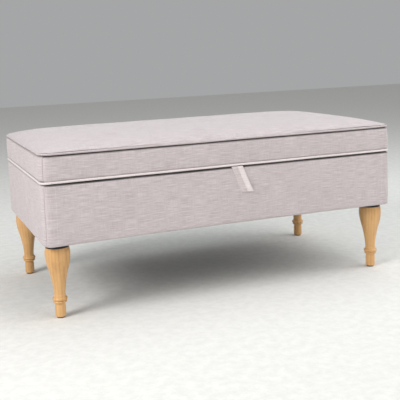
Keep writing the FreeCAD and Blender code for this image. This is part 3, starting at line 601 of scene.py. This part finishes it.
def lid_cushion():
    """Top panel, band strips, wadding and foam of the lid."""
    band, top = build_cushion()
    ripple = soft_noise(top.reshape(-1, 3), 110 * MM, 3)
    ripple += soft_noise(top.reshape(-1, 3), 38 * MM, 4) * 0.35
    rim = np.minimum(1, (top[..., 2] - TOP_CORD[1]) / (6 * MM)).clip(0, 1)
    top[..., 2] += ripple.reshape(top.shape[:2]) * MM * rim
    panel = new_piece("lid_top_panel", top.reshape(-1, 3), grid_faces(*top.shape[:2]),
                      top[..., :2].reshape(-1, 2))
    cloth_thickness(panel)
    modifier(panel, "SUBSURF", levels=1, render_levels=1)
    finish(panel, "lid", LINEN, ["lid_top_cover"])
    declare_stretched(2 * HALF_X + 20 * MM)

    shares = np.linspace(0, 1, band.shape[0])
    _, out = band_outline(0.5)
    starts = np.cumsum([0, LONG_CELLS, SHORT_CELLS, LONG_CELLS])
    for index, side in enumerate(SIDES):
        cells = LONG_CELLS if index % 2 == 0 else SHORT_CELLS
        columns = (starts[index] + np.arange(cells + 1)) % band.shape[1]
        strip = band[:, columns].copy()
        steps = np.linalg.norm(np.diff(strip[len(strip) // 2], axis=0), axis=1)
        lengths = np.concatenate([[0], np.cumsum(steps)])
        lengths -= lengths[-1] / 2
        to_seam = lengths[-1] - np.abs(lengths)
        for row, share in enumerate(shares):
            fullness = (4 * share * (1 - share)) ** 0.5
            swell = fullness * (soft_noise(strip[row], 60 * MM, 5) * 0.6 * MM
                                + soft_noise(strip[row] * (1, 1, 0.4), 14 * MM, 6) * 0.3 * MM)
            swell += fullness * felled_seam(side, to_seam)
            strip[row, :, :2] += out[columns] * swell[:, None]
        climbs = np.linalg.norm(np.diff(strip[:, cells // 2], axis=0), axis=1)
        levels = np.concatenate([[0], np.cumsum(climbs)])
        uvs = np.stack([np.tile(lengths, (len(shares), 1)), np.tile(levels[:, None], (1, cells + 1))], 2)
        if side in ("front", "back"):
            column = int(np.argmin(np.abs(to_seam[:cells // 2] - SEAM_IN + 2.2 * MM)))
            for where in (column, cells - column):
                proud = -0.1 * MM if side == "front" else 0.1 * MM
                stitch_lines["lid"].append(strip[2:-3, where] + np.array([0, proud, 0]))
        piece = new_piece(f"lid_band_panel_{side}", strip.reshape(-1, 3), grid_faces(*strip.shape[:2]),
                          uvs.reshape(-1, 2))
        # Painted shade in the creases under the upper cord and above the lower one, of a different strength on
        # the long sides and on the ends.
        crease_shade = np.clip((shares - 0.915) / 0.03, 0, 1) * LID_PAINTED_SHADE_HIGH[index % 2]
        crease_shade += np.clip((0.06 - shares) / 0.03, 0, 1) * LID_PAINTED_SHADE_LOW[index % 2]
        uneven = 0.85 + 0.15 * soft_noise(strip.reshape(-1, 3), 130 * MM, 42).reshape(strip.shape[:2])
        paint_crease_shade(piece, crease_shade[:, None] * uneven)
        cloth_thickness(piece)
        modifier(piece, "SUBSURF", levels=1, render_levels=1)
        finish(piece, "lid", LINEN, [f"lid_band_{side}"])
        declare_stretched(2 * lengths[-1])

    stuffing("lid_wadding_layer", top, 2.2 * MM, TOP_CORD[0] - 2 * MM, WADDING, "lid_wadding",
             7 * MM)
    block = np.dstack([square_fill(band[0][:, :2] * 0.985), np.full(top.shape[:2], TOP_CORD[0] - 2.4 * MM)])
    stuffing("lid_foam_block", block, 0.0, BOARD_TOP, FOAM, "lid_foam", 6 * MM)


def stuffing(name, top, under, floor, material, node, inset):
    """A closed soft block under a grid, a little smaller than it all round."""
    shrink = np.array([1 - inset / HALF_X, 1 - inset / HALF_Y])
    upper = top[::3, ::3].copy()
    upper[..., :2] *= shrink
    upper[..., 2] -= under
    lower = upper.copy()
    lower[..., 2] = floor
    piece = closed_block(name, upper, lower)
    finish(piece, "lid", material, [node])


lid_cushion()

# ---------------------------------------------------------------- piping


def tube(name, path, radius, sides=12):
    """A closed round cord along a closed path, with cloth coordinates that run along it."""
    path = np.asarray(path)
    ahead = np.roll(path, -1, axis=0) - np.roll(path, 1, axis=0)
    ahead /= np.linalg.norm(ahead, axis=1, keepdims=True)
    up = np.array([0.0, 0.0, 1.0])
    out = np.cross(ahead, up)
    out /= np.linalg.norm(out, axis=1, keepdims=True)
    lift = np.cross(out, ahead)
    angles = np.linspace(0, 2 * math.pi, sides, endpoint=False)
    rings = [path + radius * (math.cos(angle) * out + math.sin(angle) * lift) for angle in angles]
    count = len(path)
    vertices = np.concatenate(rings)
    faces = []
    for side in range(sides):
        after = (side + 1) % sides
        for index in range(count):
            follow = (index + 1) % count
            faces.append((side * count + index, side * count + follow,
                          after * count + follow, after * count + index))
    along = np.concatenate([[0], np.cumsum(np.linalg.norm(np.diff(path, axis=0), axis=1))])
    uvs = np.concatenate([np.column_stack([along, np.full(count, radius * angle)]) for angle in angles])
    return new_piece(name, vertices, faces, uvs)


def piping(name, levels, out, corner, bow, node, seed, material, drop=0.0):
    """A corded edge: a thin cord that follows the seam, with the slight unevenness of hand sewing."""
    radius = (levels[1] - levels[0]) / 2
    inset = radius - out
    points, normals = loop(HALF_X - inset, HALF_Y - inset, corner - inset, 16, 300, 150, *bow)
    path = np.column_stack([points, np.full(len(points), (levels[0] + levels[1]) / 2)])
    path[:, 2] += soft_noise(path, 90 * MM, seed) * 0.35 * MM
    path[:, 2] -= drop * np.clip((np.abs(path[:, 0]) - (HALF_X - CORNER)) / CORNER, 0, 1)
    path[:, :2] += normals * (soft_noise(path, 70 * MM, seed + 1) * 0.35 * MM)[:, None]
    return finish(tube(name, path, radius), "lid", material, [node])


piping("lid_piping_low", LOW_CORD, LOW_CORD_OUT, CORNER, (0.0, 0.0), "lid_piping_bottom", 11, CORD_CLOTH,
       drop=1.0 * MM)
piping("lid_piping_high", TOP_CORD, TOP_CORD_OUT, TOP_CORNER, LID_BOW, "lid_piping_top", 13, LINEN)

# ---------------------------------------------------------------- stitches and staples


def row_tree():
    """Geometry nodes that lay short rounded pieces, such as stitches, end to end along lines."""
    tree = bpy.data.node_groups.new("row_along_lines", "GeometryNodeTree")
    face = tree.interface
    face.new_socket("Geometry", in_out="INPUT", socket_type="NodeSocketGeometry")
    for name in ("Pitch", "Length", "Thickness"):
        face.new_socket(name, in_out="INPUT", socket_type="NodeSocketFloat")
    face.new_socket("Finish", in_out="INPUT", socket_type="NodeSocketMaterial")
    face.new_socket("Geometry", in_out="OUTPUT", socket_type="NodeSocketGeometry")

    def add(kind, **settings):
        node = tree.nodes.new(kind)
        for name, value in settings.items():
            setattr(node, name, value)
        return node

    def join(start, output, end, entry):
        tree.links.new(start.outputs[output], end.inputs[entry])

    given, result = add("NodeGroupInput"), add("NodeGroupOutput")
    line = add("GeometryNodeMeshToCurve")
    even = add("GeometryNodeResampleCurve", mode="LENGTH")
    points = add("GeometryNodeCurveToPoints", mode="EVALUATED")
    turn = add("FunctionNodeAlignRotationToVector", axis="Z")
    bead = add("GeometryNodeMeshUVSphere")
    size = add("ShaderNodeCombineXYZ")
    half = add("ShaderNodeMath", operation="MULTIPLY")
    each = add("GeometryNodeInstanceOnPoints")
    real = add("GeometryNodeRealizeInstances")
    smooth = add("GeometryNodeSetShadeSmooth")
    paint = add("GeometryNodeSetMaterial")
    bead.inputs["Segments"].default_value = 6
    bead.inputs["Rings"].default_value = 6
    bead.inputs["Radius"].default_value = 1.0
    half.inputs[1].default_value = 0.5
    join(given, "Geometry", line, "Mesh")
    join(line, "Curve", even, "Curve")
    join(given, "Pitch", even, "Length")
    join(even, "Curve", points, "Curve")
    join(points, "Tangent", turn, "Vector")
    join(given, "Length", half, 0)
    for axis in ("X", "Y"):
        join(given, "Thickness", size, axis)
    join(half, 0, size, "Z")
    join(points, "Points", each, "Points")
    join(bead, "Mesh", each, "Instance")
    join(turn, "Rotation", each, "Rotation")
    join(size, "Vector", each, "Scale")
    join(each, "Instances", real, "Geometry")
    join(real, "Geometry", smooth, "Geometry")
    join(smooth, "Geometry", paint, "Geometry")
    join(given, "Finish", paint, "Material")
    join(paint, "Geometry", result, "Geometry")
    return tree


ROW_TREE = row_tree()


def row_along(name, lines, body, material, pitch, length, thickness):
    """Stitches or staples along lines, as one plain mesh."""
    vertices, edges = [], []
    for line in lines:
        start = len(vertices)
        vertices += [tuple(map(float, point)) for point in line]
        edges += [(index, index + 1) for index in range(start, len(vertices) - 1)]
    guide = bpy.data.objects.new(name + "_guide", bpy.data.meshes.new(name + "_guide"))
    guide.data.from_pydata(vertices, edges, [])
    bpy.context.scene.collection.objects.link(guide)
    nodes = guide.modifiers.new("Row", "NODES")
    nodes.node_group = ROW_TREE
    wanted = {"Pitch": pitch, "Length": length, "Thickness": thickness, "Finish": material}
    for item in ROW_TREE.interface.items_tree:
        if item.in_out == "INPUT" and item.name in wanted:
            nodes[item.identifier] = wanted[item.name]
    guide.update_tag()
    graph = bpy.context.evaluated_depsgraph_get()
    mesh = bpy.data.meshes.new_from_object(guide.evaluated_get(graph))
    bpy.data.objects.remove(guide)
    piece = bpy.data.objects.new(name, mesh)
    bpy.context.scene.collection.objects.link(piece)
    return finish(piece, body, material)


# ---------------------------------------------------------------- the pull tab


TAB_WIDTH = 31 * MM
TAB_OFF = 6.5 * MM  # how far the free end's right edge stands off the box
TAB_CLOSE = 0.08  # the share of that at its left edge


def pull_tab():
    """A slanting strap with a rolled fold on its right half, whose free end stands off the box."""
    low, high = (np.array(corner, float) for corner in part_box("pull_tab"))
    lean = high[0] - low[0] - TAB_WIDTH
    rows, columns = 34, 18
    thick = high[1] - low[1]

    def layer(name, left, right, back, front, drop, ridge):
        """A thin cloth block between two edges and two depths, with round sides."""
        ring = []
        for share in np.linspace(0, 1, columns):
            edge = 0.55 * MM * (2 * share - 1) ** 6 - ridge * math.exp(-((share - 0.72) / 0.22) ** 2)
            ring.append((left + (right - left) * share, front + edge))
        for share in np.linspace(1, 0, columns):
            ring.append((left + (right - left) * share, back - 0.35 * MM * (2 * share - 1) ** 6))
        grid = np.zeros((rows, len(ring), 3))
        for row, along in enumerate(np.linspace(1, 0, rows)):
            level = low[2] + along * (high[2] - low[2]) - drop * (1 - along)
            slide = low[0] + lean * (1 - along)
            off = -TAB_OFF * (1 - along) ** 1.8
            for index, (x, y) in enumerate(ring):
                wave = 0.25 * MM * math.sin(x / (9 * MM) + along * 5)
                turned = off * (TAB_CLOSE + (1 - TAB_CLOSE) * x / TAB_WIDTH)
                grid[row, index] = (slide + x, y + turned + wave * (1 - along), level)
        grid = grid[::-1]
        faces = grid_faces(rows, len(ring), closed=True)
        count = len(ring)
        for row, flip in ((0, True), (rows - 1, False)):
            for index in range(columns - 1):
                quad = (row * count + index, row * count + index + 1,
                        row * count + count - 2 - index, row * count + count - 1 - index)
                faces.append(quad[::-1] if flip else quad)
        uvs = np.zeros((rows, count, 2))
        uvs[..., 0] = [x for x, _ in ring]
        uvs[..., 1] = grid[:, :1, 2]
        piece = new_piece(name, grid.reshape(-1, 3), faces, uvs.reshape(-1, 2))
        modifier(piece, "SUBSURF", levels=1, render_levels=1)
        return piece, grid

    under, _ = layer("pull_tab_under", 0.0, TAB_WIDTH, high[1], high[1] - 0.48 * thick, 0.0, 0.0)
    finish(under, "pull_tab", LIT_TAB_LINEN, ["pull_tab"])
    upper, grid = layer("pull_tab_upper", 0.5 * TAB_WIDTH, TAB_WIDTH - 0.8 * MM, high[1] - 0.5 * thick,
                        low[1], -0.8 * MM, 0.7 * MM)
    finish(upper, "pull_tab", TAB_FOLD_HIGHLIGHT)
    for share in (0.1, 0.88):
        column = int(share * (columns - 1))
        stitch_lines["pull_tab"].append(grid[2:-3, column] + (0, -0.12 * MM, 0))


pull_tab()
for body_name, lines in stitch_lines.items():
    row_along(f"{body_name}_stitches", lines, body_name, THREAD, 3.4 * MM, 2.7 * MM, 0.3 * MM)

# ---------------------------------------------------------------- cloth inside and below


def inner_tray():
    """The cloth tray that lines the box, hemmed at the rim and soft at the corners."""
    low, high = (np.array(corner, float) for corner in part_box("box_lining"))
    half_x, half_y = high[0], high[1]
    cove = 7 * MM
    hang = 0.6 * MM  # how far the cloth hangs in from the hem
    profile = [(0.0, high[2]), (0.0, high[2] - 1.5 * MM), (0.0, high[2] - 9 * MM),
               (0.5 * MM, high[2] - 10 * MM)]
    profile += [(hang, level) for level in np.linspace(high[2] - 14 * MM, low[2] + cove, 16)]
    for angle in np.radians(np.linspace(15, 90, 5)):
        profile.append((hang + cove * (1 - math.cos(angle)), low[2] + cove * (1 - math.sin(angle))))
    rows, uvs = [], []
    drop = 0.0
    for index, (inset, level) in enumerate(profile):
        points, normals = loop(half_x - inset, half_y - inset, 14 * MM - inset, 4, 100, 50)
        place = np.column_stack([points, np.full(len(points), level)])
        wave = 0.45 * MM * (1 + soft_noise(place * (1, 1, 0.4), 45 * MM, 21)) * (index > 3)
        place[:, :2] -= normals * wave[:, None]
        around = np.concatenate([[0], np.cumsum(np.linalg.norm(np.diff(points, axis=0), axis=1))])
        drop += 0 if index == 0 else math.dist(profile[index - 1], profile[index])
        rows.append(place)
        uvs.append(np.column_stack([around, np.full(len(points), drop)]))
    walls = np.stack(rows)
    count = walls.shape[1]
    edge = walls[-1][:, :2]
    faces = grid_faces(len(rows), count, closed=True)
    rings = [walls.reshape(-1, 3)]
    flat_uv = [np.concatenate(uvs)]
    start = (len(rows) - 1) * count
    previous = np.arange(start, start + count)
    total = walls.shape[0] * count
    for shrink in (0.97, 0.85, 0.65, 0.4, 0.15):
        ring = np.column_stack([edge * shrink, np.full(count, low[2])])
        ring[:, 2] += (1 + soft_noise(ring, 80 * MM, 22)) * 0.5 * MM
        rings.append(ring)
        flat_uv.append(ring[:, :2])
        current = np.arange(total, total + count)
        for index in range(count):
            after = (index + 1) % count
            faces.append((previous[index], previous[after], current[after], current[index]))
        previous, total = current, total + count
    rings.append(np.array([[0, 0, low[2] + 0.5 * MM]]))
    flat_uv.append(np.zeros((1, 2)))
    faces += [(previous[index], previous[(index + 1) % count], total) for index in range(count)]
    piece = new_piece("box_inner_lining", np.concatenate(rings), faces, np.concatenate(flat_uv))
    outward(piece, inside=True)
    cloth_thickness(piece, 0.7 * MM)
    finish(piece, "box", LINING, ["box_lining"])
    wall = high[2] - low[2]
    flat = (2 * half_x + 2 * wall, 2 * half_y + 2 * wall)
    round(flat[0] * flat[1] - 4 * wall ** 2, 4)
    hem, _ = loop(half_x - 1.1 * MM, half_y - 1.1 * MM, 12 * MM, 6, 200, 100)
    hem = np.column_stack([hem, np.full(len(hem), high[2] - 7.5 * MM)])
    row_along("box_lining_stitches", [np.concatenate([hem, hem[:1]])], "box", THREAD,
              3.6 * MM, 2.8 * MM, 0.28 * MM)


def outward(piece, inside=False):
    """Turns the faces of an open or closed shell one way: up and inwards when inside is true."""
    mesh = bmesh.new()
    mesh.from_mesh(piece.data)
    mesh.normal_update()
    middle = Vector((0, 0, (RIM + BASE) / 2))
    wrong = 0
    for face in mesh.faces:
        towards = face.normal.dot(middle - face.calc_center_median())
        wrong += -face.calc_area() if towards > 0 else face.calc_area()
    if (wrong > 0) == inside:
        bmesh.ops.reverse_faces(mesh, faces=mesh.faces)
    mesh.to_mesh(piece.data)
    mesh.free()


def flat_cloth(name, node, body, material, corner, sag, facing, thickness, staple_in):
    """A cloth panel stapled flat round its edge, with shallow puckers between the staples."""
    low, high = (np.array(corner_point, float) for corner_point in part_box(node))
    half_x, half_y = high[0], high[1]
    level = low[2] if facing < 0 else high[2]
    edge, _ = loop(half_x, half_y, corner, *GRID_STEPS)
    places = square_fill(edge)
    grid = np.dstack([places, np.full(places.shape[:2], level)])
    u, v = np.abs(places[..., 0]) / half_x, np.abs(places[..., 1]) / half_y
    give = ((1 - u ** 6) * (1 - v ** 4)).clip(0, 1)
    ripple = soft_noise(grid.reshape(-1, 3), 60 * MM, 31).reshape(u.shape)
    grid[..., 2] += facing * give * sag * (0.75 + 0.25 * ripple)
    piece = new_piece(name, grid.reshape(-1, 3), grid_faces(*u.shape), places.reshape(-1, 2))
    if facing < 0:
        piece.data.flip_normals()
    cloth_thickness(piece, thickness)
    finish(piece, body, material, [node])
    line, _ = loop(half_x - staple_in, half_y - staple_in, corner, 6, 60, 30)
    line = np.column_stack([line, np.full(len(line), level + facing * 0.25 * MM)])
    row_along(name + "_staples", [np.concatenate([line, line[:1]])], body, ZINC, 42 * MM,
              10 * MM, 0.45 * MM)


inner_tray()
flat_cloth("lid_inner_lining", "lid_lining", "lid", LINING, 18 * MM, 0.15 * MM, -1, 0.7 * MM,
           9 * MM)
flat_cloth("box_dust_cloth", "dust_cover", "box", DUST, 14 * MM, 2.5 * MM, -1, 0.5 * MM,
           12 * MM)

# ---------------------------------------------------------------- camera, floor and light


def studio():
    bpy.ops.mesh.primitive_plane_add(size=14)
    floor = bpy.context.object
    floor.name = "studio_floor"
    paint = Paint("studio_floor", Roughness=0.9)
    speck = paint.noise(paint.object_place(), 45.0, 4.0, 0.7)
    paint.feed("Base Color", paint.mix(speck.between(0.3, 0.7), colour(226, 225, 221), colour(236, 235, 231)))
    floor.data.materials.append(paint.material)
    world = bpy.data.worlds.new("studio")
    bpy.context.scene.world = world
    world.use_nodes = True
    world.node_tree.nodes["Background"].inputs[0].default_value = (0.92, 0.93, 0.94, 1)
    world.node_tree.nodes["Background"].inputs[1].default_value = 0.41
    for name, place, size, power, tint in (
            ("key", (-2.5, -1.0, 1.9), 1.2, 62, (1, 0.99, 0.985)),
            ("overhead", (0.9, 0.3, 2.6), 2.2, 19, (0.88, 0.98, 1.0)),
            ("window", (2.4, -0.9, 1.9), 1.6, 27, (1, 1, 1)),
            ("front_fill", (1.3, -2.5, 1.9), 1.6, 22, (1, 0.99, 0.985))):
        light = bpy.data.lights.new(name, "AREA")
        light.size, light.energy, light.color = size, power, tint
        lamp = bpy.data.objects.new(name, light)
        bpy.context.scene.collection.objects.link(lamp)
        lamp.location = place
        lamp.rotation_euler = (Vector((0, 0, 0.25)) - Vector(place)).to_track_quat("-Z", "Y").to_euler()


VIEW_FROM = (-0.784, -1.954, 0.622)
VIEW_TURN = (22.373, -6.957, -1.963)  # degrees to the right, up, and rolled
VIEW_LENS = 69.41
VIEW_SHIFT = (-0.002, -0.15)


def view_camera():
    """Stands to the left of the middle and a little above the seat, turned to the right."""
    yaw, tilt, roll = (math.radians(angle) for angle in VIEW_TURN)
    ahead = Vector((math.sin(yaw) * math.cos(tilt), math.cos(yaw) * math.cos(tilt), math.sin(tilt)))
    right = Vector((math.cos(yaw), -math.sin(yaw), 0))
    up = right.cross(ahead)
    right, up = (right * math.cos(roll) + up * math.sin(roll), up * math.cos(roll) - right * math.sin(roll))
    lens = bpy.data.cameras.new("view")
    lens.sensor_width = 36
    lens.lens = VIEW_LENS
    lens.shift_x, lens.shift_y = VIEW_SHIFT
    camera = bpy.data.objects.new("view", lens)
    bpy.context.scene.collection.objects.link(camera)
    turn = Matrix((right, up, -ahead)).transposed().to_4x4()
    camera.matrix_world = Matrix.Translation(VIEW_FROM) @ turn
    bpy.context.scene.camera = camera


studio()
view_camera()
bpy.context.scene.view_settings.view_transform = "Standard"
